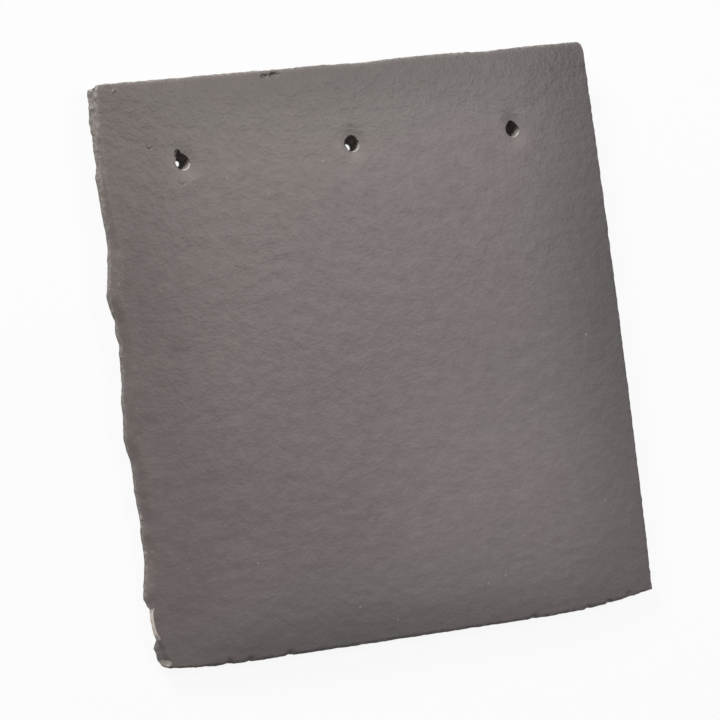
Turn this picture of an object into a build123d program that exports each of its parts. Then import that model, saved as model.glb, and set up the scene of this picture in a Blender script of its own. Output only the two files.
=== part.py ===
"""A wide concrete plain tile with three nail holes, lying face up on its nibs and its tail."""

import os
from math import asin, degrees, sqrt

from build123d import *

# Plan of the tile, seen from above: X runs along the head, Y from the tail to the head
LENGTH = 267.0
WIDTH = 248.0
HEAD_CORNER_RADIUS = 5.5
TAIL_EASE_LENGTH = 40.0
RIGHT_EASE_DEPTH = 4.8
LEFT_EASE_DEPTH = 2.6

# The left edge is ragged: it waves out from a straight line by up to this much
LEFT_SWELL = 7.4
# Each pair is the way from the head to the tail, then how far the edge stands out there
LEFT_WAVE_SHARES = (
    (0.014, 0.43),
    (0.055, 0.47),
    (0.110, 0.50),
    (0.180, 0.60),
    (0.230, 0.51),
    (0.276, 0.40),
    (0.315, 0.65),
    (0.367, 0.88),
    (0.400, 0.63),
    (0.452, 0.47),
    (0.506, 0.68),
    (0.546, 0.88),
    (0.597, 1.00),
    (0.642, 0.69),
    (0.697, 0.68),
    (0.745, 0.58),
    (0.795, 0.62),
    (0.835, 0.76),
    (0.873, 0.90),
)
# Below the waves the edge is broken off in short straight flakes
LEFT_FLAKE_SHARES = (
    (0.890, 0.66),
    (0.904, 0.60),
    (0.929, 0.66),
    (0.943, 0.54),
    (0.957, 0.62),
    (0.973, 0.50),
)
LEFT_LINE_INSET = 2.0

# Section across the tile: flat underneath, slightly crowned on top, rolled down at both sides
THICKNESS = 11.0
CROWN = 1.2
SIDE_ROLL_WIDTH = 30.0
SIDE_ROLL_DROP = 2.6

# Section along the tile: bowed over its length, rolled down at the head and the tail
LONG_CAMBER = 2.2
END_ROLL_LENGTH = 34.0
END_ROLL_DROP = 3.0

# Nail holes, flared at the face
HOLE_DROP = 38.3
HOLE_PITCH = 83.7
HOLE_ROW_SHIFT = 3.7
HOLE_RADIUS = 3.0
MOUTH_RADIUS = 4.1
MOUTH_DEPTH = 2.2

# Two nibs under the head, which hang the tile on its batten
NIB_SPAN = 124.0
NIB_WIDTH = 32.0
NIB_HOOK_DROP = 18.0
NIB_FOOT_LENGTH = 9.0
NIB_ROOT_LENGTH = 13.0
NIB_DEPTH = 10.0
NIB_EDGE_RADIUS = 1.5
NIB_COVE = 0.8

# Room for cutting shapes to run past what they cut
SPARE = 8.0
ROLL_CLEARANCE = 0.15

bow_radius = (LENGTH / 2) ** 2 / (2 * LONG_CAMBER) + LONG_CAMBER / 2
flat_half = WIDTH / 2 + SPARE - SIDE_ROLL_WIDTH
crown_radius = flat_half**2 / (2 * CROWN) + CROWN / 2


def underside(y):
    """Height of the bowed underside, from zero at the middle of the length."""
    return sqrt(bow_radius**2 - y**2) - bow_radius


def face_height(x, y):
    """Height of the crowned and bowed face between its rolled borders."""
    over = THICKNESS - crown_radius + sqrt(crown_radius**2 - x**2)
    return sqrt((bow_radius + over) ** 2 - y**2) - bow_radius


def left_points(shares):
    """Points of the ragged edge, from pairs of shares of the length and of the swell."""
    line = LEFT_LINE_INSET - WIDTH / 2
    return [(line - out * LEFT_SWELL, LENGTH / 2 - way * LENGTH) for way, out in shares]


def plan_outline():
    """The outline from above, with one ragged side and a tail that eases back at its corners."""
    head, tail = LENGTH / 2, -LENGTH / 2
    waves = left_points(LEFT_WAVE_SHARES)
    flakes = left_points(LEFT_FLAKE_SHARES)
    head_corner = (LEFT_LINE_INSET - WIDTH / 2, head)
    left_corner = (head_corner[0] - LEFT_SWELL / 3, tail + LEFT_EASE_DEPTH)
    right_corner = (WIDTH / 2, tail + RIGHT_EASE_DEPTH)
    tail_start = (TAIL_EASE_LENGTH - WIDTH / 2, tail)
    tail_end = (WIDTH / 2 - TAIL_EASE_LENGTH, tail)
    edges = Line(head_corner, waves[0])
    edges += Spline(*waves)
    edges += Polyline(waves[-1], *flakes, left_corner)
    edges += TangentArc(tail_start, left_corner, tangent=(-1, 0))
    edges += Line(tail_start, tail_end)
    edges += TangentArc(tail_end, right_corner, tangent=(1, 0))
    edges += Polyline(right_corner, (WIDTH / 2, head), head_corner)
    face = make_face(edges)
    corner = face.vertices().sort_by_distance((WIDTH / 2, head))[0]
    return fillet(corner, HEAD_CORNER_RADIUS)


def rolled_profile(half, flat, middle, shoulder, drop, foot):
    """A section with a bowed top that rolls down tangentially at both ends."""
    top = ThreePointArc((-flat, shoulder), (0, middle), (flat, shoulder))
    right = TangentArc(top @ 1, (half, shoulder - drop), tangent=top % 1)
    left = TangentArc(top @ 0, (-half, shoulder - drop), tangent=-(top % 0))
    rest = Polyline(right @ 1, (half, foot), (-half, foot), left @ 1)
    return make_face(top + right + left + rest)


def bowed_slab():
    """The cross section swept round the long bow, then trimmed by the side section and the plan."""
    half = WIDTH / 2 + SPARE
    shoulder = THICKNESS - CROWN
    section = rolled_profile(half, flat_half, THICKNESS, shoulder, SIDE_ROLL_DROP, 0)
    sweep = 2 * degrees(asin((LENGTH / 2 + SPARE) / bow_radius))
    axis = Axis((0, 0, -bow_radius), (1, 0, 0))
    ring = revolve(Plane.XZ * section, axis, sweep).rotate(axis, -sweep / 2)

    reach = LENGTH / 2 + SPARE
    flat = reach - END_ROLL_LENGTH
    lip = face_height(0, flat) + ROLL_CLEARANCE
    middle = THICKNESS + ROLL_CLEARANCE
    side = rolled_profile(reach, flat, middle, lip, END_ROLL_DROP, -SPARE)
    side_block = extrude(Plane.YZ * side, WIDTH, both=True)
    plan_block = extrude(Pos(0, 0, -SPARE) * plan_outline(), THICKNESS + 2 * SPARE)
    return ring & side_block & plan_block


def nail_hole(top):
    """A straight hole with a flared mouth, as one cutter about the Z axis."""
    shank = Pos(0, 0, top) * Cylinder(HOLE_RADIUS, 4 * THICKNESS)
    slope = (MOUTH_RADIUS - HOLE_RADIUS) / MOUTH_DEPTH
    wide = MOUTH_RADIUS + slope * MOUTH_DEPTH
    mouth = Pos(0, 0, top) * Cone(HOLE_RADIUS, wide, 2 * MOUTH_DEPTH)
    return shank + mouth


def nib(hook):
    """A hanging nib with an upright hooking face, coved into the tile, and a sloped back."""
    rise = NIB_DEPTH + THICKNESS / 2
    lean = (NIB_ROOT_LENGTH - NIB_FOOT_LENGTH) * rise / NIB_DEPTH
    cove = TangentArc((hook, NIB_DEPTH - NIB_COVE), (hook - NIB_COVE, NIB_DEPTH), tangent=(0, 1))
    sides = Polyline(
        cove @ 0,
        (hook, 0),
        (hook + NIB_FOOT_LENGTH, 0),
        (hook + NIB_FOOT_LENGTH + lean, rise),
        (hook - NIB_COVE, rise),
        cove @ 1,
    )
    block = extrude(Plane.YZ * make_face(cove + sides), NIB_WIDTH / 2, both=True)
    return fillet(block.faces().sort_by(Axis.Z)[0].edges(), NIB_EDGE_RADIUS)


# Lay the slab down: its tail edge is on the floor, and its head is held up by the nibs
hook_y = LENGTH / 2 - NIB_HOOK_DROP
climb = NIB_DEPTH - (underside(hook_y) - underside(LENGTH / 2))
tilt = degrees(asin(climb / (LENGTH - NIB_HOOK_DROP)))
to_floor = Rot(tilt, 0, 0) * Pos(0, LENGTH / 2, -underside(LENGTH / 2))
tile = to_floor * bowed_slab()

# Hang the nibs below it, square to the floor
hook_line = (to_floor * Pos(0, hook_y, underside(hook_y))).position.Y
for side_sign in (-1, 1):
    tile += Pos(side_sign * NIB_SPAN / 2, 0, 0) * nib(hook_line)

# Punch the row of nail holes straight down
hole_y = LENGTH / 2 - HOLE_DROP
for step in (-1, 0, 1):
    hole_x = step * HOLE_PITCH - HOLE_ROW_SHIFT
    mouth_at = (to_floor * Pos(hole_x, hole_y, face_height(hole_x, hole_y))).position
    tile -= Pos(mouth_at.X, mouth_at.Y, 0) * nail_hole(mouth_at.Z)

# The origin is under the middle of the tile, on the floor
box = tile.bounding_box()
tile = Pos(-box.center().X, -box.center().Y, -box.min.Z) * tile

os.makedirs("parts", exist_ok=True)
export_step(tile, "parts/tile.step")
print("tile", tile.bounding_box().size, "volume", round(tile.volume), "tilt", round(tilt, 3))
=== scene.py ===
# %% [markdown]
# This lesson dresses one wide plain roof tile, cast in concrete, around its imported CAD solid.
# The solid gives the size and the place. The mesh made here adds what casting, breaking and
# handling leave: a finely rippled face, one ragged side, chipped nail holes and a sandy grain.

# %% Load the frame
import math

import bmesh
import bpy
import numpy as np
from mathutils import Matrix, Vector, noise


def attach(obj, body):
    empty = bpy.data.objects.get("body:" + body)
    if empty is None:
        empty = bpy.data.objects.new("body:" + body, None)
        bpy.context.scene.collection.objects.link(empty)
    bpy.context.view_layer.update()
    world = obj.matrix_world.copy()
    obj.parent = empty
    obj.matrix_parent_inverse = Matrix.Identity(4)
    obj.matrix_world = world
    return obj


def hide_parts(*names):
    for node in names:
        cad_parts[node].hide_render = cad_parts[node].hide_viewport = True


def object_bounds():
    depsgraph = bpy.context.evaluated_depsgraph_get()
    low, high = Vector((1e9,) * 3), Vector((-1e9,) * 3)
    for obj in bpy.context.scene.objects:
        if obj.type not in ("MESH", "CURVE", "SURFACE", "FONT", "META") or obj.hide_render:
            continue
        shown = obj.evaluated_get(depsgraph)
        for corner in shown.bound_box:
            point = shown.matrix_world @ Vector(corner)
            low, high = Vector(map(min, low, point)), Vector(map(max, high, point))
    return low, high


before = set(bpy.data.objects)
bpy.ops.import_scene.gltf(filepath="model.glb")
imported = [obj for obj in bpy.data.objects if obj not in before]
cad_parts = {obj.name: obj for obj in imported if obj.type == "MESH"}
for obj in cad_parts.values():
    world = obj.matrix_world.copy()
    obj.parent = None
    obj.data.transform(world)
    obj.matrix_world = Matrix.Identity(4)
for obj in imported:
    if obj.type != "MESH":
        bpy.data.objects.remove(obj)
cad_low, cad_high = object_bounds()
MM = 0.001
scene = bpy.context.scene
scene.view_settings.view_transform = "Standard"
print("CAD box in mm:", [round((high - low) / MM, 2) for low, high in zip(cad_low, cad_high)])

# %% [markdown]
# The plan is the outline seen from above. Three sides are the straight or eased lines that the
# mould left, and the fourth is ragged, so it is a table of how far it stands out along its way.
# The table follows the solid's own edge with a few more steps. A short blur rounds its corners,
# as crumbling does.

# %% The plan of the tile, in millimetres
LENGTH, WIDTH = 267.0, 248.0
HEAD, TAIL = LENGTH / 2, -LENGTH / 2
RIGHT_LINE, HEAD_CORNER = 125.0, 3.6
LEFT_EASE, LEFT_EASE_REACH = 2.6, 40.0
RIGHT_EASE, RIGHT_EASE_REACH = 5.4, 60.0
HEAD_LIFT, HEAD_LIFT_REACH = 0.4, 45.0
# Each dip of the head: where along it, how wide and how deep
HEAD_DIPS = ((-32.0, 9.0, 0.35), (8.0, 14.0, 0.7), (73.0, 14.0, 0.6))
LEFT_LINE, LEFT_SWELL = -122.0, 7.4
LEFT_WAY = (
    0.000, 0.014, 0.035, 0.055, 0.076, 0.096, 0.117, 0.137, 0.158, 0.178, 0.199, 0.219, 0.240, 0.260,
    0.281, 0.301, 0.322, 0.342, 0.362, 0.383, 0.404, 0.424, 0.445, 0.465, 0.506, 0.546, 0.567, 0.607,
    0.628, 0.649, 0.670, 0.690, 0.731, 0.752, 0.772, 0.793, 0.833, 0.855, 0.876, 0.884, 0.895, 0.915,
    0.936, 0.956, 0.977, 1.000,
)
LEFT_OUT = (
    0.38, 0.41, 0.43, 0.46, 0.52, 0.48, 0.50, 0.44, 0.62, 0.56, 0.53, 0.55, 0.48, 0.43,
    0.44, 0.56, 0.62, 0.75, 0.92, 0.80, 0.58, 0.67, 0.50, 0.57, 0.63, 0.87, 0.84, 0.98,
    0.84, 0.71, 0.68, 0.70, 0.62, 0.55, 0.69, 0.56, 0.65, 0.80, 0.95, 0.99, 0.94, 0.97,
    0.94, 0.73, 0.54, 0.33,
)
BLUR_STEP, RAGGED_BLUR, ARRIS_BLUR = 0.25, 0.75, 2.6

fine_y = np.arange(TAIL - 6, HEAD + 6, BLUR_STEP)
table_x = LEFT_LINE - LEFT_SWELL * np.interp((HEAD - fine_y) / LENGTH, LEFT_WAY, LEFT_OUT)


def blurred(line, reach):
    """A line with its corners rounded over a reach."""
    count = int(3 * reach / BLUR_STEP)
    bell = np.exp(-0.5 * (np.arange(-count, count + 1) * BLUR_STEP / reach) ** 2)
    return np.convolve(np.pad(line, count, mode="edge"), bell / bell.sum(), mode="valid")


ragged_x, arris_x = blurred(table_x, RAGGED_BLUR), blurred(table_x, ARRIS_BLUR)


def left_edge(y):
    """X of the ragged side at each Y."""
    return np.interp(y, fine_y, ragged_x)


def left_arris(y):
    """X of the calmer line that the arris of the ragged side follows."""
    return np.interp(y, fine_y, arris_x)


def tail_edge(x):
    """Y of the tail, which eases back towards both corners."""
    left = np.clip((LEFT_EASE_REACH - WIDTH / 2 - x) / LEFT_EASE_REACH, 0, None)
    right = np.clip((x - RIGHT_LINE + RIGHT_EASE_REACH) / RIGHT_EASE_REACH, 0, None)
    return TAIL + LEFT_EASE * left**2 + RIGHT_EASE * right**2


def head_edge(x, inset):
    """Y of the head, with one rounded corner, its dips and a lift at the ragged side."""
    past = np.clip(x - (RIGHT_LINE - HEAD_CORNER), 0, None)
    wave = HEAD_LIFT * np.clip((HEAD_LIFT_REACH - WIDTH / 2 - x) / HEAD_LIFT_REACH, 0, 1)
    for dip_x, reach, depth in HEAD_DIPS:
        wave = wave - depth * np.exp(-(((x - dip_x) / reach) ** 2))
    rounded = np.sqrt(np.clip((HEAD_CORNER - inset) ** 2 - past**2, 0, None))
    return HEAD - HEAD_CORNER + rounded + wave


def plan_point(across, along, left_line, left_inset, inset):
    """Places shares of the width and the length inside the outline, drawn in by the insets."""
    start = left_line(TAIL + along * LENGTH) + left_inset
    x = start + across * (RIGHT_LINE - inset - start)
    low = tail_edge(x) + inset
    return x, low + along * (head_edge(x, inset) - low)


print("ragged side from", round(ragged_x.max(), 1), "to", round(ragged_x.min(), 1), "mm")

# %% [markdown]
# A plain tile isn't flat: it is bowed along its length, crowned across, and rolled down at all
# four edges. These heights follow the solid's sections, so the face lies on the CAD face.

# %% The heights of the face and of the back
THICKNESS, CROWN_RADIUS, LONG_CAMBER = 11.0, 4000.0, 2.2
SIDE_ROLL_FROM, LEFT_ROLL, RIGHT_ROLL = 80.0, 0.00108, 0.0013
HEAD_ROLL_FROM, HEAD_ROLL = 111.0, 0.0019
TAIL_ROLL_FROM, TAIL_ROLL = 114.0, 0.0026
BOW = (LENGTH / 2) ** 2 / (2 * LONG_CAMBER) + LONG_CAMBER / 2


def back_height(y):
    """Height of the bowed underside."""
    return np.sqrt(BOW**2 - y**2) - BOW


def face_height(x, y):
    """Height of the face: crown and bow, less the roll at the edges."""
    over = THICKNESS - CROWN_RADIUS + np.sqrt(CROWN_RADIUS**2 - x**2)
    bowed = np.sqrt((BOW + over) ** 2 - y**2) - BOW
    side_roll = np.where(x < 0, LEFT_ROLL, RIGHT_ROLL)
    side = side_roll * np.clip(np.abs(x) - SIDE_ROLL_FROM, 0, None) ** 2
    head = HEAD_ROLL * np.clip(y - HEAD_ROLL_FROM, 0, None) ** 2
    tail = TAIL_ROLL * np.clip(-y - TAIL_ROLL_FROM, 0, None) ** 2
    return bowed - np.hypot(side, head + tail)


tail_height = round(face_height(0.0, TAIL), 2)
print("face height in the middle and at the tail:", face_height(0.0, 0.0), tail_height)

# %% [markdown]
# The face starts as one grid, moved into the plan. Its cells get smaller towards the edges,
# where the detail is. The outer row stops short of the outline to leave room for the arris,
# the line where face and side meet: crisp where the mould cut it, a bare strip beside the head
# of the ragged side, and a soft roll below that, where the wet face sagged over the break.
# Short tables say how far in the arris lies along that side, where it turns soft, and where it
# is undercut, because a flake broke off it near the tail.

# %% The face as a grid
FACE_COLUMNS, FACE_ROWS = 224, 236
EDGE_CROWDING = 0.35
ARRIS = 1.4
ARRIS_AT = (-124.5, -118.8, -109.5, -103.0, 50.0, 74.0, 98.0, 115.0, 133.5)
ARRIS_IN = (3.6, 2.0, 2.0, 5.0, 5.0, 3.6, 2.2, 2.2, 2.8)
SOFT_AT, SOFT_SHARE = (50.0, 74.0, 100.0, 118.0), (1.0, 0.7, 0.35, 0.0)
FLAKE_AT, FLAKE_UNDER = (-124.5, -118.8, -109.5, -106.0, -102.0), (0.0, 2.6, 2.6, 0.7, 0.0)
UNDER_FROM = 0.25
# Shares of the width below this lie on the ragged side itself
ON_EDGE = 1e-6
HOLES = ((-87.4, 95.2), (-3.1, 95.9), (80.0, 95.2))


def crowd(share):
    """Draws evenly spaced shares together towards both ends."""
    return share - EDGE_CROWDING * np.sin(2 * np.pi * share) / (2 * np.pi)


def coordinates(verts):
    """The places of some vertices as one array."""
    return np.array([vert.co[:] for vert in verts])


tile = bmesh.new()
layer = {
    name: tile.verts.layers.float.new(name)
    for name in ("lip_x", "lip_y", "lip_z", "calm_x", "rim_x", "rim_y", "under", "ring")
}
mask = {
    name: tile.verts.layers.float.new(name)
    for name in ("face", "back", "strip", "soft", "bare", "pale", "tone", "grey", "warm", "pressed")
}
bmesh.ops.create_grid(tile, x_segments=FACE_COLUMNS, y_segments=FACE_ROWS, size=0.5)
face_verts = list(tile.verts)
shares = coordinates(face_verts)[:, :2] + 0.5
across, along = crowd(shares[:, 0]), crowd(shares[:, 1])
way_y = TAIL + along * LENGTH
soft = np.interp(way_y, SOFT_AT, SOFT_SHARE)
plan_x, plan_y = plan_point(across, along, left_arris, np.interp(way_y, ARRIS_AT, ARRIS_IN), ARRIS)
calm_x, _ = plan_point(across, along, left_arris, 0.0, 0.0)
outline_x, outline_y = plan_point(across, along, left_edge, 0.0, 0.0)
under = np.interp(way_y, FLAKE_AT, FLAKE_UNDER)
rows = zip(face_verts, plan_x, plan_y, calm_x, outline_x, outline_y, across, soft, under)
for vert, x, y, calm, ox, oy, share, roll, cut in rows:
    vert.co = (x, y, 0.0)
    vert[layer["calm_x"]], vert[layer["rim_x"]], vert[layer["rim_y"]] = calm - x, ox - x, oy - y
    on_left = 1.0 if share < ON_EDGE else 0.0
    vert[mask["soft"]], vert[mask["strip"]] = on_left * roll, on_left * (1 - roll)
    vert[layer["under"]] = on_left * cut
print("face grid:", len(tile.faces), "cells")

# %% [markdown]
# The mouths of the nail holes, the crescents that a tool left in the wet face and the rough pits
# at the head are smaller than a cell of this grid. Only the cells near them are divided, twice
# and over a shrinking reach, so the rest of the face stays light.

# %% Finer cells round the nail holes and the small dents
FINE_REACHES = ((10.0, 3.6), (8.2, 3.0))
# Each rough pit: where in the plan, its reach across and along, and its depth
PITS = ((-36.9, 130.9, 2.6, 1.1, 1.2), (-41.6, 130.5, 1.5, 0.9, 1.0))
# Each crescent dent: where in the plan, its radius, its depth and which way it opens. The last
# one has a depth below zero, because it is a raised grain
DENTS = (
    (-101.9, 103.7, 1.25, 0.28, 1.3),
    (-88.7, 86.0, 1.25, 0.28, 1.4),
    (-114.6, 129.9, 0.6, -0.5, -0.8),
)


def near_any(face, spots, reach):
    """Whether a cell lies within reach of one of some places."""
    middle = face.calc_center_median()
    return any(math.hypot(middle.x - spot[0], middle.y - spot[1]) < reach for spot in spots)


for hole_reach, dent_reach in FINE_REACHES:
    near = [
        face
        for face in tile.faces
        if near_any(face, HOLES, hole_reach) or near_any(face, DENTS + PITS, dent_reach)
    ]
    close = {edge for face in near for edge in face.edges}
    bmesh.ops.subdivide_edges(tile, edges=list(close), cuts=1, use_grid_fill=True)
places = coordinates(tile.verts)
for vert, z in zip(tile.verts, face_height(places[:, 0], places[:, 1])):
    vert.co.z = z
    vert[mask["face"]] = 1.0
print("face with finer holes:", len(tile.faces), "cells")

# %% [markdown]
# The side is drawn down from the rim of the face, ring by ring, with an edge extrude. Each ring
# has a depth and a reach for the three kinds of side, and a vertex blends them by its masks. The
# arris is painted a little paler at the head and at the strip, a painted highlight where it
# catches the key lamp, and the coat ends below it. The flake shows fresh concrete, painted paler
# still as painted light on its shaded side, and below the face the ragged corner of the head is
# broken back.

# %% The side, ring by ring
CRISP = (
    (0.016, 0.40), (0.055, 0.76), (0.13, 1.0), (0.23, 1.0), (0.36, 1.0), (0.50, 1.0),
    (0.64, 1.0), (0.78, 1.0), (0.90, 1.0), (0.96, 0.9), (1.0, 0.5),
)
STRIP = (
    (0.015, 0.16), (0.05, 0.28), (0.11, 0.36), (0.22, 0.46), (0.36, 0.58), (0.50, 0.70),
    (0.64, 0.82), (0.78, 0.94), (0.90, 1.0), (0.96, 0.97), (1.0, 0.85),
)
SOFT = (
    (0.011, 0.156), (0.045, 0.309), (0.10, 0.454), (0.176, 0.588), (0.269, 0.707), (0.379, 0.809),
    (0.502, 0.891), (0.635, 0.951), (0.776, 0.988), (0.90, 1.0), (1.0, 0.93),
)


def boundary_edges(mesh):
    """The open edges of a mesh."""
    return [edge for edge in mesh.edges if edge.is_boundary]


def check_skin(mesh, name):
    """Prints how many faces a mesh has, and any edges that are open, stray or turned over."""
    opened = len(boundary_edges(mesh))
    stray = sum(1 for edge in mesh.edges if not edge.is_manifold) - opened
    turned = sum(1 for edge in mesh.edges if edge.is_manifold and not edge.is_contiguous)
    print(name + ":", len(mesh.faces), "faces; edges open", opened, "stray", stray, "turned", turned)


def of_kind(parts, kind):
    """The vertices, edges or faces among what an operator made."""
    return [part for part in parts if isinstance(part, kind)]


# The first is a painted highlight on the arris where it catches the key lamp; the second is the pale of
# the flake, which runs into painted light on its shaded side
ARRIS_HIGHLIGHT, FLAKE_PALE_AND_LIT, FRESH_CURVE = 0.16, 1.8, 1.5
# The painted highlight of the arris fades over a share of the depth, and the soft side adds to that share
ARRIS_HIGHLIGHT_FADE, ARRIS_HIGHLIGHT_FADE_SOFT = 0.08, 0.4
# The side turns bare below the arris: its start, its rise, and how much lower it is if soft
BARE_START, BARE_RISE, BARE_SOFT = 0.45, 6.0, 0.5
CORNER_FROM, CORNER_LEAN, CORNER_REACH, CORNER_CUT, CORNER_FADE = -122.9, 2.5, 0.9, 1.5, 8.0


def limited(value, most=1.0):
    """A value kept between zero and a limit."""
    return max(0.0, min(most, value))


def arris_lit(vert):
    """How much painted highlight the arris gets at a vertex: at the strip and at the head."""
    return max(vert[mask["strip"]], limited(vert[layer["rim_y"]] / ARRIS))


rim = boundary_edges(tile)
for vert in {vert for edge in rim for vert in edge.verts}:
    vert[layer["lip_x"]], vert[layer["lip_y"]], vert[layer["lip_z"]] = vert.co
    vert[mask["tone"]] = ARRIS_HIGHLIGHT * arris_lit(vert)
for ring, (crisp_ring, strip_ring, soft_ring) in enumerate(zip(CRISP, STRIP, SOFT), 1):
    made = bmesh.ops.extrude_edge_only(tile, edges=rim)["geom"]
    rim = [edge for edge in of_kind(made, bmesh.types.BMEdge) if edge.is_boundary]
    for vert in of_kind(made, bmesh.types.BMVert):
        strip_share, soft_share = vert[mask["strip"]], vert[mask["soft"]]
        crisp_share = 1 - strip_share - soft_share
        down, out = (
            crisp * crisp_share + strip * strip_share + rolled * soft_share
            for crisp, strip, rolled in zip(crisp_ring, strip_ring, soft_ring)
        )
        out -= vert[layer["under"]] * max(0.0, down - UNDER_FROM)
        to_outline = vert[layer["calm_x"]] * (1 - down) + vert[layer["rim_x"]] * down
        x = vert[layer["lip_x"]] + to_outline * out
        y = vert[layer["lip_y"]] + vert[layer["rim_y"]] * out
        broken = limited((CORNER_FROM + CORNER_LEAN * down - x) / CORNER_REACH)
        y -= CORNER_CUT * broken * math.exp(min(0.0, y - HEAD) / CORNER_FADE)
        top = vert[layer["lip_z"]]
        vert.co = (x, y, top - down * (top - back_height(y)))
        vert[layer["ring"]] = ring / len(CRISP)
        vert[mask["face"]] = 0.0
        faded = limited(1 - down / (ARRIS_HIGHLIGHT_FADE + ARRIS_HIGHLIGHT_FADE_SOFT * soft_share))
        vert[mask["tone"]] = ARRIS_HIGHLIGHT * arris_lit(vert) * faded
        vert[mask["bare"]] = limited(BARE_START + BARE_RISE * (down - BARE_SOFT * soft_share))
        # The flake's pale runs past one into the paler fresh colour: fresh concrete, partly painted light
        # on its shaded side
        vert[mask["pale"]] = FLAKE_PALE_AND_LIT * (vert[layer["under"]] / max(FLAKE_UNDER)) ** FRESH_CURVE
print("side rings:", len(CRISP), "and an open rim of", len(rim), "edges")

# %% [markdown]
# The back is a second, coarser grid, because it is seldom seen. Its columns are counted so that
# some of them fall next to the ends of the nibs. Bridging its border to the last ring of the side
# closes the slab without any face being listed by hand.

# %% The back of the slab
BACK_COLUMNS, BACK_ROWS = 97, 106
BACK_INSET = 5.0

back_grid = bmesh.ops.create_grid(tile, x_segments=BACK_COLUMNS, y_segments=BACK_ROWS, size=0.5)
back_verts = back_grid["verts"]
shares = coordinates(back_verts)[:, :2] + 0.5
back_x, back_y = plan_point(shares[:, 0], shares[:, 1], left_edge, BACK_INSET, BACK_INSET)
for vert, x, y, z in zip(back_verts, back_x, back_y, back_height(back_y)):
    vert.co = (x, y, z)
    vert[mask["back"]] = 1.0
back_faces = {face for vert in back_verts for face in vert.link_faces}
back_edges = {edge for face in back_faces for edge in face.edges}
back_rim = [edge for edge in back_edges if edge.is_boundary]
bmesh.ops.bridge_loops(tile, edges=rim + back_rim)
bmesh.ops.recalc_face_normals(tile, faces=tile.faces)
check_skin(tile, "closed slab")

# %% [markdown]
# So far the slab lies in the plan it was drawn in. At rest it lies on its tail edge and on the
# feet of its nibs, so it is turned by the small angle that these give, and set on the CAD box.

# %% Lay the slab down as it rests
NIB_DEPTH, NIB_HOOK_DROP = 10.0, 18.0
hook_y = HEAD - NIB_HOOK_DROP
climb = NIB_DEPTH - (back_height(hook_y) - back_height(HEAD))
tilt = math.asin(climb / (LENGTH - NIB_HOOK_DROP))
right_side, head_line = cad_high[0] / MM, cad_high[1] / MM
shift = Vector((right_side - WIDTH / 2, head_line - LENGTH * math.cos(tilt), 0))
lay_down = (
    Matrix.Translation(shift)
    @ Matrix.Rotation(tilt, 4, "X")
    @ Matrix.Translation((0, LENGTH / 2, -back_height(HEAD)))
)
tile.transform(lay_down)
print("tilt", round(math.degrees(tilt), 3), "shift", [round(step, 2) for step in shift])

# %% [markdown]
# Under the head hang two nibs that hook over the batten. Each is drawn out of the cells of the
# back in three steps, so that it stays one skin with the slab. The extrude gets the cells with
# their edges, because it then takes the old cells away and leaves no faces inside the nib. The
# last two steps also draw in, which rounds the foot as a mould does. Cells at the border are
# first moved to the nib's outline.

# %% The two nibs
NIB_SPAN, NIB_WIDTH, NIB_ROOT, NIB_FOOT = 124.0, 32.0, 13.0, 9.0
# Each step of a nib: the height that it reaches, and how far it draws in
NIB_STEPS = ((1.5, 0.0), (0.44, 0.44), (0.0, 1.06))
# Half a cell of the back, so that only one line of vertices moves to each side of a nib
SNAP_REACH = 1.2
hook_line = (lay_down @ Vector((0, hook_y, back_height(hook_y)))).y
root_line, foot_middle = hook_line + NIB_ROOT, hook_line + NIB_FOOT / 2


def snapped(value, low, high):
    """Moves a value onto the nearer of two lines if it is close to it."""
    for line in (low, high):
        if abs(value - line) < SNAP_REACH:
            return line
    return value


def on_back(face):
    """Whether a face belongs to the back."""
    return all(vert[mask["back"]] > 0.5 for vert in face.verts)


for side in (-1, 1):
    middle_x = shift.x + side * NIB_SPAN / 2
    left, right = middle_x - NIB_WIDTH / 2, middle_x + NIB_WIDTH / 2
    cells = []
    for face in tile.faces:
        middle = face.calc_center_median()
        if left < middle.x < right and hook_line < middle.y < root_line and on_back(face):
            cells.append(face)
    for vert in {vert for face in cells for vert in face.verts}:
        vert.co.x = snapped(vert.co.x, left, right)
        vert.co.y = snapped(vert.co.y, hook_line, root_line)
    for step, (height, draw_in) in enumerate(NIB_STEPS):
        cell_edges = {edge for face in cells for edge in face.edges}
        grown = bmesh.ops.extrude_face_region(tile, geom=cells + list(cell_edges))["geom"]
        cells = of_kind(grown, bmesh.types.BMFace)
        for vert in of_kind(grown, bmesh.types.BMVert):
            if step == 0:
                vert.co.y = hook_line + (vert.co.y - hook_line) * NIB_FOOT / NIB_ROOT
            vert.co.x = middle_x + (vert.co.x - middle_x) * (1 - draw_in / (NIB_WIDTH / 2))
            vert.co.y = foot_middle + (vert.co.y - foot_middle) * (1 - draw_in / (NIB_FOOT / 2))
            vert.co.z = height
check_skin(tile, "with nibs")

# %% [markdown]
# The nail holes are pressed by tapered pins while the concrete is wet. The pin leaves the mouth
# nearly sharp on one side and crumbled to a flare on the other, and it chipped one mouth. The
# face is opened by deleting the cells inside each mouth. The loose border is pulled onto the
# mouth's outline, and rings go down from it by extrusion to the back.

# %% The outline of each mouth
FLARE_TOWARDS, FLARE_LOW, FLARE_HIGH = math.radians(-52), 0.30, 1.35
FLARE_CURVE, FLARE_DEPTH = 1.2, 0.9
# The hole itself is not quite round: how much, how often it changes, and its seed
NECK_WOBBLE, NECK_DETAIL, NECK_SEED = 0.06, 1.6, 9
NOTCH_WIDTH, NOTCH_DEPTH = 0.32, 4.5
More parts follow.
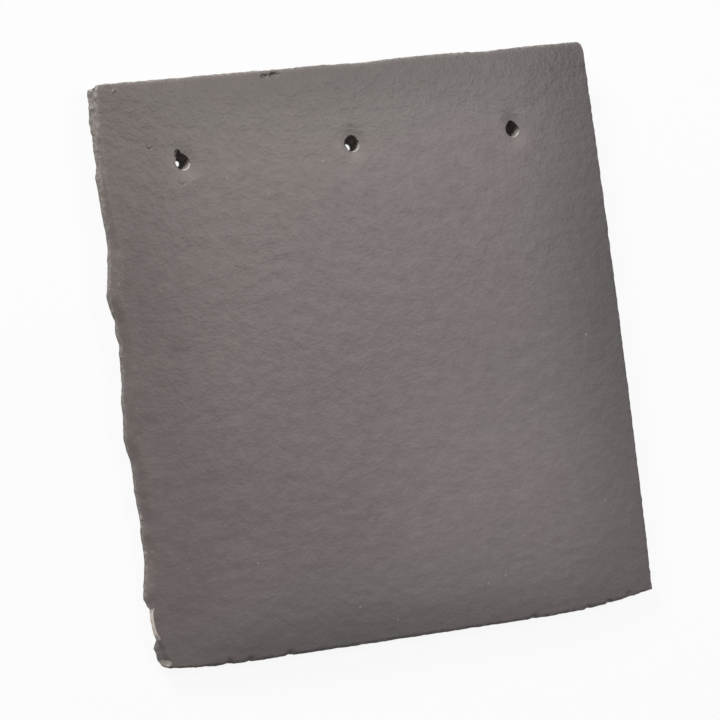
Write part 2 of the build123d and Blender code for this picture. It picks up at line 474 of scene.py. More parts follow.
# The pale of each kind scales the pale of its flare, which is fresh concrete and partly painted light
HOLE_KINDS = (
    {"radius": 2.95, "exit": (1.0, 0.2), "end": 1.05, "turn": 1.92, "notch": 2.9, "pale": 0.8},
    {"radius": 3.0, "exit": (1.8, -0.9), "end": 1.3, "turn": 3.0, "notch": 0.0, "pale": 1.0},
    {"radius": 3.0, "exit": (-2.0, 0.4), "end": 1.9, "turn": 1.7, "notch": 0.5, "pale": 0.85},
)


def flare(angle):
    """Width of the crumbled flare at an angle."""
    towards = max(0.0, math.cos(angle - FLARE_TOWARDS))
    return FLARE_LOW + (FLARE_HIGH - FLARE_LOW) * towards**FLARE_CURVE


def neck(kind, angle):
    """Radius of the pin's own hole at an angle."""
    turned = (math.cos(angle) * NECK_DETAIL, math.sin(angle) * NECK_DETAIL, kind["turn"] * NECK_SEED)
    return kind["radius"] * (1 + NECK_WOBBLE * noise.noise(turned))


def notch(kind, angle):
    """How far the chip of a mouth reaches out at an angle."""
    away = math.remainder(angle - kind["turn"], math.tau) / NOTCH_WIDTH
    return kind["notch"] * math.exp(-(away**4))


def mouth(kind, angle):
    """Radius of the whole mouth at an angle."""
    return neck(kind, angle) + flare(angle) + notch(kind, angle)


print("mouths at their flare:", [round(mouth(kind, FLARE_TOWARDS), 2) for kind in HOLE_KINDS], "mm")

# %% The nail holes
# Each ring of the flare: the share of its width left, and the share of its depth reached
FLARE_RINGS = ((0.86, 0.03), (0.70, 0.12), (0.52, 0.28), (0.34, 0.50), (0.18, 0.76), (0.05, 1.0))
# How pale each ring of the flare is: fresh crumbled concrete, and painted light on the crescent that
# faces the key lamp
FLARE_PALE_LIT = (0.5, 1.0, 1.2, 1.2, 1.0, 0.5)
SHANK_SHARES = (0.10, 0.22, 0.36, 0.55, 0.75, 0.92)
NARROWING, BARE_DEPTH = 1.4, 2.5
EXIT_REACH, EXIT_CUTS = 9.0, 3
# Radii cleared of cells, as shares of the mouth and of the exit, and that of the exit's border
MOUTH_CLEARED, EXIT_CLEARED, EXIT_BORDER = 0.97, 1.2, 1.3


def open_round(mesh, centre, reach, on_mask):
    """Deletes the cells inside an outline about a centre and returns the border that this leaves."""
    inside = []
    for vert in mesh.verts:
        if vert[on_mask] > 0.5:
            x, y = vert.co.x - centre.x, vert.co.y - centre.y
            if math.hypot(x, y) < reach(math.atan2(y, x)):
                inside.append(vert)
    bmesh.ops.delete(mesh, geom=inside, context="VERTS")
    return boundary_edges(mesh)


def around(centre, angle, reach):
    """A place in the plan, at a reach from a centre."""
    return Vector((centre.x + math.cos(angle) * reach, centre.y + math.sin(angle) * reach))


def round_verts(edges, centre):
    """Each vertex of some edges once, with its direction round a centre."""
    for vert in {vert for edge in edges for vert in edge.verts}:
        yield vert, math.atan2(vert.co.y - centre.y, vert.co.x - centre.x)


def walk_round(edges):
    """The vertices of a closed loop of edges, in their order along it."""
    border = set(edges)
    edge = edges[0]
    vert = edge.verts[0]
    order = []
    while len(order) < len(edges):
        order.append(vert)
        vert = edge.other_vert(vert)
        edge = next(other for other in vert.link_edges if other in border and other is not edge)
    return order


def even_round(edges, centre):
    """Each vertex of a loop with a direction half way to even spacing, so none overtakes another."""
    order = walk_round(edges)
    turns = np.unwrap([math.atan2(vert.co.y - centre.y, vert.co.x - centre.x) for vert in order])
    way = np.sign(turns[-1] - turns[0])
    even = turns[0] + way * np.arange(len(order)) * math.tau / len(order)
    even += (turns - even).mean()
    return zip(order, (turns + even) / 2)


exit_spots = [(shift.x + x, y) for x, y in HOLES]
exit_cells = [
    face for face in tile.faces if near_any(face, exit_spots, EXIT_REACH) and on_back(face)
]
exit_edges = {edge for face in exit_cells for edge in face.edges}
bmesh.ops.subdivide_edges(tile, edges=list(exit_edges), cuts=EXIT_CUTS, use_grid_fill=True)

for (hole_x, hole_y), kind in zip(HOLES, HOLE_KINDS):
    mouth_at = lay_down @ Vector((hole_x, hole_y, face_height(hole_x, hole_y)))
    back_at = lay_down @ Vector((hole_x, hole_y, back_height(hole_y)))
    exit_at = Vector((mouth_at.x + kind["exit"][0], mouth_at.y + kind["exit"][1], back_at.z))
    loop = open_round(tile, mouth_at, lambda angle: mouth(kind, angle) * MOUTH_CLEARED, mask["face"])
    for vert, angle in even_round(loop, mouth_at):
        vert.co.xy = around(mouth_at, angle, mouth(kind, angle))
    centre = mouth_at
    rings = [ring + (bright,) for ring, bright in zip(FLARE_RINGS, FLARE_PALE_LIT)]
    for left, sunk, bright in rings + [(0.0, share, 0.0) for share in SHANK_SHARES]:
        made = bmesh.ops.extrude_edge_only(tile, edges=loop)["geom"]
        loop = [edge for edge in of_kind(made, bmesh.types.BMEdge) if edge.is_boundary]
        slide = 0.0 if left else sunk
        below = mouth_at.lerp(exit_at, slide)
        for vert, angle in list(round_verts(loop, centre)):
            lip = flare(angle) * FLARE_DEPTH
            depth = lip * sunk if left else lip + (mouth_at.z - exit_at.z - lip) * slide
            chipped = notch(kind, angle) * max(0.0, 1 - depth / NOTCH_DEPTH)
            narrow = (kind["end"] - neck(kind, angle)) * slide**NARROWING
            reach = neck(kind, angle) + narrow + flare(angle) * left + chipped
            vert.co.xy = around(below, angle, reach)
            vert.co.z = mouth_at.z - depth
            vert[mask["face"]] = 0.0
            vert[mask["bare"]] = limited(depth / BARE_DEPTH)
            wide = (flare(angle) - FLARE_LOW) / (FLARE_HIGH - FLARE_LOW)
            # Pale concrete on the flare, partly painted light of the lit crescent
            vert[mask["pale"]] = wide * bright * kind["pale"]
        centre = below
    opened = open_round(tile, exit_at, lambda angle: kind["end"] * EXIT_CLEARED, mask["back"])
    opened = [edge for edge in opened if edge not in set(loop)]
    for vert, angle in even_round(opened, exit_at):
        vert.co.xy = around(exit_at, angle, kind["end"] * EXIT_BORDER)
    bmesh.ops.bridge_loops(tile, edges=loop + opened)
bmesh.ops.recalc_face_normals(tile, faces=tile.faces)
check_skin(tile, "with nail holes")

# %% [markdown]
# Now the skin is closed, every vertex is moved a little along its normal. The face gets the long
# low waves and the fine cross ripples of the roller, the ragged side gets crumbled lumps, and the
# back gets a coarse cast skin. Seeded noise gives the same tile every time.

# %% Relief along the normals
# Each wave of the roller: its height, its reach across and along, and its seed
WAVE, RIPPLE, FINE_RIPPLE = (0.16, 60.0, 40.0, 3.1), (0.075, 13.0, 6.0, 7.7), (0.05, 6.0, 3.6, 1.3)
# The ripples grow towards the head and the ragged side, over this distance
RIPPLE_LEAN = 260.0
# Each kind of lump: its seed, and pairs of depth and size
STRIP_LUMPS = (60, ((0.50, 4.6), (0.55, 2.2)))
SOFT_LUMPS = (80, ((0.30, 8.0), (0.28, 3.4), (0.22, 2.0)))
CRISP_LUMPS = (20, ((0.25, 6.0), (0.45, 2.2)))
BACK_LUMPS = (40, ((0.12, 9.0), (0.08, 3.5)))
# Each dish round a nail hole: where in the plan, its reach across and along, and its depth
DISHES = ((-86.4, 95.9, 4.4, 6.2, 0.8), (-2.0, 96.6, 4.4, 6.2, 1.0), (81.2, 96.2, 4.4, 6.2, 1.0))
# The line of a crescent and how much of its circle is open
DENT_LINE, DENT_OPEN = 0.42, 0.7
PIT_GRAIN, PIT_EVEN, PIT_ROUGH, PIT_SEED = 1.2, 0.8, 0.6, 5.5
LUMP_RAMP = 2.2
# The nibs are left smooth below this height
FOOT_TOP = 2.0


def wave_at(wave, x, y):
    """Height of one of the roller's waves at a place in the plan."""
    height, wide, long, seed = wave
    return height * noise.noise((x / wide, y / long, seed))


def face_relief(x, y):
    """Height that the face gains or loses at a place in the plan."""
    upper_left = limited(0.5 + (y - x) / RIPPLE_LEAN)
    height = wave_at(WAVE, x, y) + (0.5 + upper_left) * wave_at(RIPPLE, x, y)
    height += wave_at(FINE_RIPPLE, x, y)
    for dish_x, dish_y, wide, long, depth in DISHES:
        height -= depth * math.exp(-(((x - dish_x) / wide) ** 2) - ((y - dish_y) / long) ** 2)
    for pit_x, pit_y, wide, long, depth in PITS:
        rough = PIT_EVEN + PIT_ROUGH * noise.noise((x / PIT_GRAIN, y / PIT_GRAIN, PIT_SEED))
        away = ((x - pit_x) / wide) ** 2 + ((y - pit_y) / long) ** 2
        height -= depth * rough * math.exp(-(away**2))
    return height


def dent_depth(x, y):
    """Depth of the small crescents that a tool left in the wet face."""
    depth = 0.0
    for dent_x, dent_y, radius, deep, opens in DENTS:
        away = math.hypot(x - dent_x, y - dent_y)
        if away < radius + 3 * DENT_LINE:
            turned = math.cos(math.atan2(y - dent_y, x - dent_x) - opens)
            line = math.exp(-(((away - radius) / DENT_LINE) ** 2))
            depth += deep * limited(DENT_OPEN - turned) * line
    return depth


def lumps(place, kind):
    """Several sizes of lump added up."""
    seed, sizes = kind
    return sum(depth * noise.noise((place + Vector((0, 0, seed))) / size) for depth, size in sizes)


tile.normal_update()
stand_up = lay_down.inverted()
moves = []
for vert in tile.verts:
    place = stand_up @ vert.co
    if vert[mask["face"]] > 0.5:
        out = face_relief(place.x, place.y) - dent_depth(place.x, place.y)
    elif vert[mask["back"]] > 0.5:
        out = lumps(place, BACK_LUMPS) if vert.co.z > FOOT_TOP else 0.0
    else:
        strip_share, soft_share = vert[mask["strip"]], vert[mask["soft"]]
        rough = lumps(place, CRISP_LUMPS) * (1 - strip_share - soft_share)
        rough += lumps(place, STRIP_LUMPS) * strip_share + lumps(place, SOFT_LUMPS) * soft_share
        ramp = min(1.0, vert[layer["ring"]] * LUMP_RAMP)
        out = rough * ramp + face_relief(place.x, place.y) * (1 - ramp)
    moves.append(vert.normal * out)
for vert, move in zip(tile.verts, moves):
    vert.co += move
print("relief: largest move", round(max(move.length for move in moves), 2), "mm")

# %% [markdown]
# The coat is painted lighter and darker in broad patches, as painted light and shade, and paler on
# the dish slopes below the holes, as painted light. It turns grey along the borders, and is warmer
# and rougher where the roller pressed harder. Each change is a soft spot in the plan that adds to a
# mask of the mesh. The finish reads these masks, so it needs no picture of the face.

# %% Painted light and shade, grey borders and warmth
# Each patch of painted light, above zero, and of painted shade, below it: where in the plan, its reach
# across and along, and the change of tone
PAINTED_LIGHT_AND_SHADE = (
    ((-10.0, 94.0), (95.0, 22.0), 0.09),
    ((0.0, 126.0), (150.0, 12.0), -0.15),
    ((126.0, 40.0), (42.0, 120.0), -0.25),
    ((-116.0, 40.0), (30.0, 100.0), -0.18),
    ((50.0, -73.0), (68.0, 50.0), 0.27),
    ((-40.0, -124.0), (75.0, 14.0), -0.08),
)
# Round each nail hole, painted light on the slope of the dish below it that faces the key lamp, and a
# little beside it
LIT_DISH_SLOPES = ((2.5, -6.5, (5.0, 3.2), 0.22), (-6.0, -0.5, (3.5, 4.0), 0.10))
PAINTED_LIGHT_AND_SHADE += tuple(
    ((x + right, y + up), reach, change) for x, y in HOLES for right, up, reach, change in LIT_DISH_SLOPES
)
# Each greyed border: where in the plan, its reach across and along, and how grey it is
GREYED = (
    ((40.0, 126.0), (170.0, 40.0), 0.60),
    ((126.0, -10.0), (34.0, 150.0), 0.42),
    ((-20.0, -128.0), (190.0, 28.0), 0.52),
    ((60.0, -60.0), (60.0, 60.0), 0.16),
)
# The coat is warmer towards the head and the ragged side, where the roller pressed harder too
WARM_FROM, WARM_REACH, WARM_LEAN = -90.0, 200.0, 1.1
PRESS_FROM, PRESS_REACH, PRESS_LEAN, PRESS_MOST = -30.0, 110.0, 0.4, 1.4
HEAD_PRESS = ((0.0, 127.0), (400.0, 20.0), 2.2)


def near_place(place, spot, reach):
    """One at a spot in the plan, falling off over its reach across and along."""
    return math.exp(-(((place.x - spot[0]) / reach[0]) ** 2) - ((place.y - spot[1]) / reach[1]) ** 2)


def spots_at(place, spots):
    """What some spots, each with its place, reach and strength, add up to at a place."""
    return sum(strength * near_place(place, spot, reach) for spot, reach, strength in spots)


for vert in tile.verts:
    place = stand_up @ vert.co
    warmth = (place.y - WARM_LEAN * place.x - WARM_FROM) / WARM_REACH
    pressure = (place.y - PRESS_LEAN * place.x - PRESS_FROM) / PRESS_REACH
    vert[mask["tone"]] += 1 + spots_at(place, PAINTED_LIGHT_AND_SHADE)
    vert[mask["grey"]] = min(1.0, spots_at(place, GREYED))
    vert[mask["warm"]] = limited(warmth)
    vert[mask["pressed"]] = limited(pressure, PRESS_MOST)
    vert[mask["pressed"]] += spots_at(place, (HEAD_PRESS,))
tones = [vert[mask["tone"]] for vert in tile.verts]
print("tone of the coat from", round(min(tones), 2), "to", round(max(tones), 2))

# %% [markdown]
# Small breaks are local dents: every vertex within reach of a break is moved inwards, more the
# nearer it is. Fresh breaks show paler concrete, so each also paints a mask for the finish. One
# pale spot is painted light in the shaded wedge under the broken corner of the head.

# %% Nicks, pale breaks and a spot of painted light
# Each nick: where in the plan, its reach, and how far it moves the edge in and down
NICKS = (
    ((-126.0, -131.8), 3.4, (1.0, 1.5, -0.2)),
    ((-94.1, -133.4), 2.2, (0.1, 0.9, -0.4)),
    ((-83.7, -133.0), 1.8, (0.0, 0.7, -0.5)),
    ((-64.2, -133.4), 2.2, (0.0, 0.9, -0.4)),
    ((60.4, -133.0), 1.8, (0.0, 0.7, -0.4)),
    ((111.7, -128.9), 1.5, (0.0, 0.7, -0.4)),
    ((100.2, -131.2), 1.3, (0.0, 0.6, -0.4)),
    ((88.8, -132.6), 1.3, (0.0, 0.6, -0.4)),
)
# Each pale break, and the spot of painted light: where in the plan, its reach across and along, and its
# strength
PALE_BREAKS_AND_PAINTED_LIGHT = (
    ((-125.6, -129.2), (4.3, 1.9), 1.8),
    # Painted light in the shaded wedge under the broken corner of the head
    ((-123.5, 132.6), (1.7, 1.3), 1.1),
    ((-126.5, -62.0), (0.7, 1.6), 0.85),
    ((-126.2, -66.6), (0.6, 1.0), 0.8),
    ((-126.2, -78.2), (0.6, 1.2), 0.8),
)
# A nick ends at so many times its reach, and falls off this fast
NICK_END, NICK_FALL = 2.0, 1.5

for vert in tile.verts:
    place = stand_up @ vert.co
    for (nick_x, nick_y), reach, move in NICKS:
        near = math.hypot(place.x - nick_x, place.y - nick_y) / reach
        if near < NICK_END:
            vert.co += Vector(move) * math.exp(-NICK_FALL * near**2)
    pale = vert[mask["pale"]]
    for (pale_x, pale_y), (wide, long), strength in PALE_BREAKS_AND_PAINTED_LIGHT:
        near = ((place.x - pale_x) / wide) ** 2 + ((place.y - pale_y) / long) ** 2
        pale = max(pale, strength * math.exp(-(near**2)))
    vert[mask["pale"]] = pale
    vert.co.z = max(vert.co.z, 0.0)
print("pale vertices:", sum(1 for vert in tile.verts if vert[mask["pale"]] > 0.5))

# %% [markdown]
# The mesh is finished, so it becomes an object of the scene, in metres. It is shaded smooth, but
# the corners of the nibs stay sharp. The object rides on the tile's body and stands for the solid.

# %% The mesh becomes the piece
SHARP_ANGLE = math.radians(40)

for face in tile.faces:
    face.smooth = True
    face.material_index = 1 if on_back(face) else 0
for edge in tile.edges:
    if len(edge.link_faces) == 2 and all(on_back(face) for face in edge.link_faces):
        edge.smooth = edge.calc_face_angle() < SHARP_ANGLE
body = bpy.data.meshes.new("tile_body")
tile.transform(Matrix.Scale(MM, 4))
tile.to_mesh(body)
tile.free()
for name in layer:
    body.attributes.remove(body.attributes[name])
concrete_tile = bpy.data.objects.new("concrete_tile", body)
scene.collection.objects.link(concrete_tile)
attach(concrete_tile, "root")
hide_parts("tile")
print("tile triangles:", sum(len(face.vertices) - 2 for face in body.polygons))

# %% [markdown]
# The grain of cast concrete shows on every side: sand, pores where air escaped, and pale stray
# grains. One node group makes these three from Object coordinates, so that the face, the breaks
# and the back share them at their own size. It puts out values only, and no shader.

# %% The grain, as a node group
SAND_SIZE, PORE_SIZE, SPECK_SIZE = 0.0009, 0.0048, 0.0095
SAND_HEIGHT = 0.5
# Dots: the shares of a cell where one is full and where it ends, and the share of cells with one
PORE_DOTS, SPECK_DOTS = (0.03, 0.11, 0.35), (0.02, 0.08, 0.32)
SPECK_SHIFT = (0.31, 0.17, 0.23)
# Most of a noise texture lies between these values
NOISE_LOW, NOISE_HIGH = 0.3, 0.7


def add_node(tree, kind, settings=None, inputs=None):
    """Adds a node, sets it, and fills its sockets with values or with links."""
    made = tree.nodes.new(kind)
    for name, value in (settings or {}).items():
        setattr(made, name, value)
    for name, value in (inputs or {}).items():
        if isinstance(value, bpy.types.NodeSocket):
            tree.links.new(value, made.inputs[name])
        else:
            made.inputs[name].default_value = value
    return made


def math_node(tree, operation, first, second):
    """A Math node's output."""
    values = {0: first, 1: second}
    return add_node(tree, "ShaderNodeMath", {"operation": operation}, values).outputs[0]


def added(tree, first, second):
    """The sum of two values."""
    return math_node(tree, "ADD", first, second)


def times(tree, first, second):
    """The product of two values."""
    return math_node(tree, "MULTIPLY", first, second)


def vector_node(tree, operation, inputs):
    """A Vector Math node's output, for places and colours."""
    return add_node(tree, "ShaderNodeVectorMath", {"operation": operation}, inputs).outputs[0]


def ramped(tree, value, low, high, to_low=0.0, to_high=1.0):
    """A Map Range node's output."""
    ends = {"Value": value, "From Min": low, "From Max": high, "To Min": to_low, "To Max": to_high}
    return add_node(tree, "ShaderNodeMapRange", None, ends).outputs[0]


def noise_value(tree, place, scale, detail, roughness=0.5):
    """A Noise Texture's value."""
    look = {"Vector": place, "Scale": scale, "Detail": detail, "Roughness": roughness}
    return add_node(tree, "ShaderNodeTexNoise", None, look).outputs["Fac"]


def spread(tree, value, to_low=0.0, to_high=1.0):
    """The value of a noise texture, spread over a range."""
    return ramped(tree, value, NOISE_LOW, NOISE_HIGH, to_low, to_high)


def scattered_dots(tree, place, cell, dots):
    """Round dots in some cells of a scatter, each of its own strength at its middle."""
    inner, outer, kept = dots
    cells = add_node(tree, "ShaderNodeTexVoronoi", None, {"Vector": place, "Scale": 1 / cell})
    dot = ramped(tree, cells.outputs["Distance"], inner, outer, 1.0, 0.0)
    pick = add_node(tree, "ShaderNodeSeparateColor", None, {"Color": cells.outputs["Color"]})
    return times(tree, dot, ramped(tree, pick.outputs[0], 1 - kept, 1.0))


grain = bpy.data.node_groups.new("cast_grain", "ShaderNodeTree")
grain.interface.new_socket("Place", in_out="INPUT", socket_type="NodeSocketVector")
size_socket = grain.interface.new_socket("Size", in_out="INPUT", socket_type="NodeSocketFloat")
size_socket.default_value = 1.0
for name in ("Tone", "Pores", "Specks", "Height"):
    grain.interface.new_socket(name, in_out="OUTPUT", socket_type="NodeSocketFloat")
entry = grain.nodes.new("NodeGroupInput")
leave = grain.nodes.new("NodeGroupOutput")
inverse = math_node(grain, "DIVIDE", 1.0, entry.outputs["Size"])
sized = vector_node(grain, "SCALE", {0: entry.outputs["Place"], "Scale": inverse})
moved = vector_node(grain, "ADD", {0: sized, 1: SPECK_SHIFT})
sand = noise_value(grain, sized, 1 / SAND_SIZE, detail=3.0, roughness=0.6)
pores = scattered_dots(grain, sized, PORE_SIZE, PORE_DOTS)
specks = scattered_dots(grain, moved, SPECK_SIZE, SPECK_DOTS)
height = math_node(grain, "SUBTRACT", times(grain, sand, SAND_HEIGHT), pores)
made = {"Tone": spread(grain, sand), "Pores": pores, "Specks": specks, "Height": height}
for name, value in made.items():
    grain.links.new(value, leave.inputs[name])
print("grain group:", len(grain.nodes), "nodes")

# %% [markdown]
# The face is coated with a thin coloured slurry that sets to a low satin sheen. Its colour
# drifts in soft patches and in the fine streaks that the roller drew across the tile. It is
# greyer along the borders, and warmer towards the head and the ragged side, and the tone mask
# scales it with painted light and shade. The bare mask lets the concrete through at the strip and
# in the holes, and the pale mask at fresh breaks and, as painted light, on the lit crescents of
# the holes.

# %% The colour of the slurry coat
COAT_DARK, COAT_LIGHT = (0.120, 0.096, 0.0935, 1), (0.247, 0.204, 0.200, 1)
COAT_GREY = (0.172, 0.157, 0.151, 1)
# Tints that the coat is multiplied by, at both ends of the warm mask
COAT_COOL, COAT_WARM = (1.0, 1.0, 1.025, 1), (1.0, 1.0, 0.968, 1)
# The pores are painted nearly black: painted shade in the small air holes
PORE_SHADE, SPECK_PALE = (0.050, 0.041, 0.038, 1), (0.40, 0.36, 0.33, 1)
BARE_DARK, BARE_LIGHT = (0.135, 0.116, 0.106, 1), (0.335, 0.298, 0.275, 1)
PALE_DARK, PALE_LIGHT = (0.37, 0.335, 0.308, 1), (0.56, 0.52, 0.485, 1)
# Fresh concrete at the flake and at the corner of the tail, made paler still as painted light on their
# shaded sides
LIT_FRESH_BREAK = (0.74, 0.655, 0.59, 1)
STREAK_SIZE = (1 / 0.022, 1 / 0.0055, 1 / 0.010)
STIPPLE_SIZE = (1 / 0.0064, 1 / 0.0058, 1 / 0.006)
PATCH_SIZE, TINT_SCALE = 0.030, 0.35
COARSE_GRAIN = 1.9
# How far each texture takes the coat from its dark colour to its light one
PATCH_TONE, STREAK_TONE, STIPPLE_TONE, SAND_TONE = (0.1, 0.24), (0.05, 0.15), (0.1, 0.36), (0.0, 0.12)
TINT_GREY = (0.35, 0.75, 0.0, 0.2)
PORE_SHADE_SHARE, SPECK_SHARE = 0.65, 0.8
# How far stipple and sand fray the borders of the coat, and the share of it at a pale break
FRAY_STIPPLE, FRAY_SAND, FRAY_PALE = (-0.3, 0.3), (-0.2, 0.2), 0.6
# The values between which a frayed mask begins to show
BARE_SHOWS, PALE_SHOWS, FRESH_SHOWS = (0.5, 0.8), (0.45, 0.75), (1.2, 1.7)


def start_material(name):
    """A new material, its node tree and its shader."""
    made = bpy.data.materials.new(name)
    made.use_nodes = True
    return made, made.node_tree, made.node_tree.nodes["Principled BSDF"]


def mapped(tree, place, scale):
    """A place stretched by a Mapping node."""
    return add_node(tree, "ShaderNodeMapping", None, {"Vector": place, "Scale": scale}).outputs[0]


def mixed(tree, share, first, second):
    """A colour Mix node's output."""
    mix = add_node(tree, "ShaderNodeMix", {"data_type": "RGBA"})
    for socket, value in ((mix.inputs[0], share), (mix.inputs[6], first), (mix.inputs[7], second)):
        if isinstance(value, bpy.types.NodeSocket):
            tree.links.new(value, socket)
        else:
            socket.default_value = value
    return mix.outputs[2]


def grain_in(tree, place, size):
    """The grain group, placed in a material at a size."""
    sockets = {"Place": place, "Size": size}
    return add_node(tree, "ShaderNodeGroup", {"node_tree": grain}, sockets).outputs


def mask_value(tree, name):
    """One of the tile's own masks."""
    return add_node(tree, "ShaderNodeAttribute", {"attribute_name": name}).outputs["Fac"]


slurry, wires, coat = start_material("slurry_coat")
place = add_node(wires, "ShaderNodeTexCoord").outputs["Object"]
drawn = mapped(wires, place, STREAK_SIZE)
streaks = noise_value(wires, drawn, 1.0, detail=3.0)
patches = noise_value(wires, place, 1 / PATCH_SIZE, detail=3.0)
tint = noise_value(wires, drawn, TINT_SCALE, detail=2.0)
stipple = noise_value(wires, mapped(wires, place, STIPPLE_SIZE), 1.0, detail=2.8, roughness=0.8)
fine, coarse = grain_in(wires, place, 1.0), grain_in(wires, place, COARSE_GRAIN)
broad = added(wires, spread(wires, patches, *PATCH_TONE), spread(wires, streaks, *STREAK_TONE))
sandy = ramped(wires, fine["Tone"], 0.0, 1.0, *SAND_TONE)
close = added(wires, spread(wires, stipple, *STIPPLE_TONE), sandy)
tone = added(wires, broad, close)
colour = mixed(wires, tone, COAT_DARK, COAT_LIGHT)
greyed = added(wires, ramped(wires, tint, *TINT_GREY), mask_value(wires, "grey"))
colour = mixed(wires, greyed, colour, COAT_GREY)
warmth = mixed(wires, mask_value(wires, "warm"), COAT_COOL, COAT_WARM)
colour = vector_node(wires, "MULTIPLY", {0: colour, 1: warmth})
# The tone mask scales the colour: painted light and shade, and the painted highlight of the arris
colour = vector_node(wires, "SCALE", {0: colour, "Scale": mask_value(wires, "tone")})
# Painted shade in the pores of the coat
colour = mixed(wires, times(wires, fine["Pores"], PORE_SHADE_SHARE), colour, PORE_SHADE)
colour = mixed(wires, times(wires, fine["Specks"], SPECK_SHARE), colour, SPECK_PALE)
frayed_sand = ramped(wires, coarse["Tone"], 0.0, 1.0, *FRAY_SAND)
fray = added(wires, spread(wires, stipple, *FRAY_STIPPLE), frayed_sand)
bare_share = ramped(wires, added(wires, mask_value(wires, "bare"), fray), *BARE_SHOWS)
bare_tone = mixed(wires, coarse["Tone"], BARE_DARK, BARE_LIGHT)
colour = mixed(wires, bare_share, colour, bare_tone)
frayed_pale = added(wires, mask_value(wires, "pale"), times(wires, fray, FRAY_PALE))
pale_share = ramped(wires, frayed_pale, *PALE_SHOWS)
pale_tone = mixed(wires, fine["Tone"], PALE_DARK, PALE_LIGHT)
pale_tone = mixed(wires, ramped(wires, frayed_pale, *FRESH_SHOWS), pale_tone, LIT_FRESH_BREAK)
colour = mixed(wires, pale_share, colour, pale_tone)
wires.links.new(colour, coat.inputs["Base Color"])
print("coat colour:", len(wires.nodes), "nodes")

# %% The sheen and the relief of the slurry coat
SHEEN, SHEEN_STIPPLE = (0.2, 1.8, 0.42, 0.8), (0.045, -0.045)
STIPPLE_HEIGHT, GRAIN_HEIGHT, BREAK_HEIGHT = 2.7, 0.22, 2.0
# Grit and dimples: the size of a cell, its dots and their height
GRIT, DIMPLES = (0.0022, (0.0, 0.5, 0.7), 0.12), (0.011, (0.02, 0.14, 0.6), -0.35)
# The range of the pressed mask, and the strength of the relief at both of its ends
PRESSED_RELIEF = (0.0, 4.2, 0.72, 2.91)
COAT_BUMP = {"Strength": 0.35, "Distance": 0.0004}

sheen = ramped(wires, added(wires, tone, bare_share), *SHEEN)
sheen = added(wires, sheen, spread(wires, stipple, *SHEEN_STIPPLE))
wires.links.new(sheen, coat.inputs["Roughness"])
grained = times(wires, fine["Height"], GRAIN_HEIGHT)
relief = added(wires, times(wires, stipple, STIPPLE_HEIGHT), grained)
grit, dimples = (
    times(wires, scattered_dots(wires, place, size, dots), height)
    for size, dots, height in (GRIT, DIMPLES)
)
relief = added(wires, relief, added(wires, grit, dimples))
relief = times(wires, relief, ramped(wires, mask_value(wires, "pressed"), *PRESSED_RELIEF))
uncoated = math_node(wires, "MAXIMUM", bare_share, pale_share)
rough_break = times(wires, uncoated, coarse["Height"])
relief = added(wires, relief, times(wires, rough_break, BREAK_HEIGHT))
bump = add_node(wires, "ShaderNodeBump", None, {"Height": relief, **COAT_BUMP})
wires.links.new(bump.outputs["Normal"], coat.inputs["Normal"])
body.materials.append(slurry)
print("slurry coat:", len(wires.nodes), "nodes")

# %% [markdown]
# The back never gets the coat. It is plain cast concrete, greyer and paler, with larger grain
# and more pores, so it uses the same group at twice the size.

# %% The bare back
BACK_DARK, BACK_LIGHT = (0.15, 0.132, 0.118, 1), (0.29, 0.262, 0.238, 1)
BACK_PATCH_SIZE, BACK_GRAIN = 0.05, 2.0
BACK_PATCH_TONE, BACK_SAND_TONE = (0.0, 0.55), 0.45
BACK_PORE_SHADE, BACK_SPECKS = 0.8, 0.5
BACK_DULL = (0.0, 1.0, 0.75, 0.9)
BACK_BUMP = {"Strength": 0.5, "Distance": 0.0006}

cast, wires, skin = start_material("bare_back")
place = add_node(wires, "ShaderNodeTexCoord").outputs["Object"]
patches = noise_value(wires, place, 1 / BACK_PATCH_SIZE, detail=4.0)
coarse = grain_in(wires, place, BACK_GRAIN)
sandy = times(wires, coarse["Tone"], BACK_SAND_TONE)
tone = added(wires, spread(wires, patches, *BACK_PATCH_TONE), sandy)
colour = mixed(wires, tone, BACK_DARK, BACK_LIGHT)
# Painted shade in the pores of the back
colour = mixed(wires, times(wires, coarse["Pores"], BACK_PORE_SHADE), colour, PORE_SHADE)
colour = mixed(wires, times(wires, coarse["Specks"], BACK_SPECKS), colour, SPECK_PALE)
wires.links.new(colour, skin.inputs["Base Color"])
wires.links.new(ramped(wires, tone, *BACK_DULL), skin.inputs["Roughness"])
bump = add_node(wires, "ShaderNodeBump", None, {"Height": coarse["Height"], **BACK_BUMP})
wires.links.new(bump.outputs["Normal"], skin.inputs["Normal"])
body.materials.append(cast)
print("bare back:", len(wires.nodes), "nodes")

# %% [markdown]
# The floor is a plain pale sheet. Seen by the camera it is nearly white, by the Light Path node,
# while its shader still takes the tile's shadow and throws a little light back.

# %% The floor
FLOOR_SIZE = 12.0
FLOOR_GREY, FLOOR_DULL = (0.8, 0.8, 0.8, 1), 0.9
WHITE_SHARE = 0.92

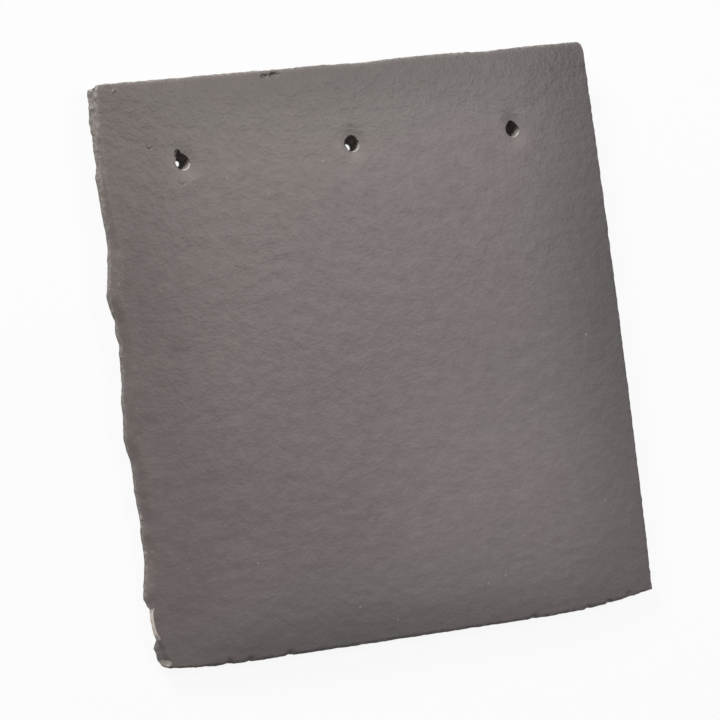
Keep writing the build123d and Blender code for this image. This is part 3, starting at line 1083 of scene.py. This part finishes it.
ground = bmesh.new()
bmesh.ops.create_grid(ground, x_segments=1, y_segments=1, size=FLOOR_SIZE / 2)
floor_mesh = bpy.data.meshes.new("floor")
ground.to_mesh(floor_mesh)
ground.free()
floor = bpy.data.objects.new("floor", floor_mesh)
scene.collection.objects.link(floor)
pale, wires, plain = start_material("pale_floor")
plain.inputs["Base Color"].default_value = FLOOR_GREY
plain.inputs["Roughness"].default_value = FLOOR_DULL
seen = add_node(wires, "ShaderNodeLightPath")
white = add_node(wires, "ShaderNodeEmission", None, {"Strength": 1.0})
direct = math_node(wires, "MAXIMUM", seen.outputs["Is Camera Ray"], seen.outputs["Is Glossy Ray"])
direct = math_node(wires, "MAXIMUM", direct, seen.outputs["Is Transmission Ray"])
share = times(wires, direct, WHITE_SHARE)
blend = add_node(wires, "ShaderNodeMixShader", None, {0: share, 1: plain.outputs[0], 2: white.outputs[0]})
wires.links.new(blend.outputs[0], wires.nodes["Material Output"].inputs["Surface"])
floor_mesh.materials.append(pale)
print("floor:", FLOOR_SIZE, "m square")

# %% [markdown]
# The camera stands high and to the left, far off with a long lens, so the tile's far edges stay
# nearly parallel. Its place was found by fitting the outline of the tile.

# %% The camera
CAMERA_AT = Vector((-807.6, -94.37, 1823.83)) * MM
CAMERA_AHEAD = Vector((0.40343, 0.04567, -0.91387))
CAMERA_UP = Vector((0.11098, 0.98894, 0.09841))
LENS, SENSOR = 215.0, 36.0

lens = bpy.data.cameras.new("camera")
lens.lens, lens.sensor_width, lens.sensor_fit = LENS, SENSOR, "HORIZONTAL"
camera = bpy.data.objects.new("camera", lens)
scene.collection.objects.link(camera)
behind = -CAMERA_AHEAD.normalized()
rightwards = CAMERA_UP.cross(behind).normalized()
upwards = behind.cross(rightwards)
turn = Matrix((rightwards, upwards, behind)).transposed().to_4x4()
camera.matrix_world = Matrix.Translation(CAMERA_AT) @ turn
scene.camera = camera
print("camera at", [round(step, 3) for step in camera.location])

# %% [markdown]
# Two soft lamps light the tile. The key lamp stands beyond the head, a little to the left, and
# draws out the ripples and the lips of the holes. The sheen lamp stands where the satin face
# mirrors it, so the middle is brightest and the rolled edges fall off. The world fills the rest.

# %% The light
WORLD_STRENGTH = 0.06
# Each lamp: its name, its place, where it aims, its size and its power
LAMPS = (
    ("key_lamp", (-0.618, 1.071, 0.657), (0, 0, 0), 0.5, 18.6),
    ("sheen_lamp", (0.415, 0.19, 0.96), (0, 0, 0), 0.35, 4.2),
)

world = bpy.data.worlds.new("studio")
world.use_nodes = True
sky = world.node_tree.nodes["Background"]
sky.inputs["Color"].default_value = (1, 1, 1, 1)
sky.inputs["Strength"].default_value = WORLD_STRENGTH
scene.world = world
for name, spot, aim, size, power in LAMPS:
    light = bpy.data.lights.new(name, "AREA")
    light.size, light.energy = size, power
    lamp = bpy.data.objects.new(name, light)
    lamp.location = spot
    lamp.rotation_euler = (Vector(aim) - Vector(spot)).to_track_quat("-Z", "Y").to_euler()
    lamp.visible_camera = False
    scene.collection.objects.link(lamp)
print("lamps:", [name for name, *_ in LAMPS])
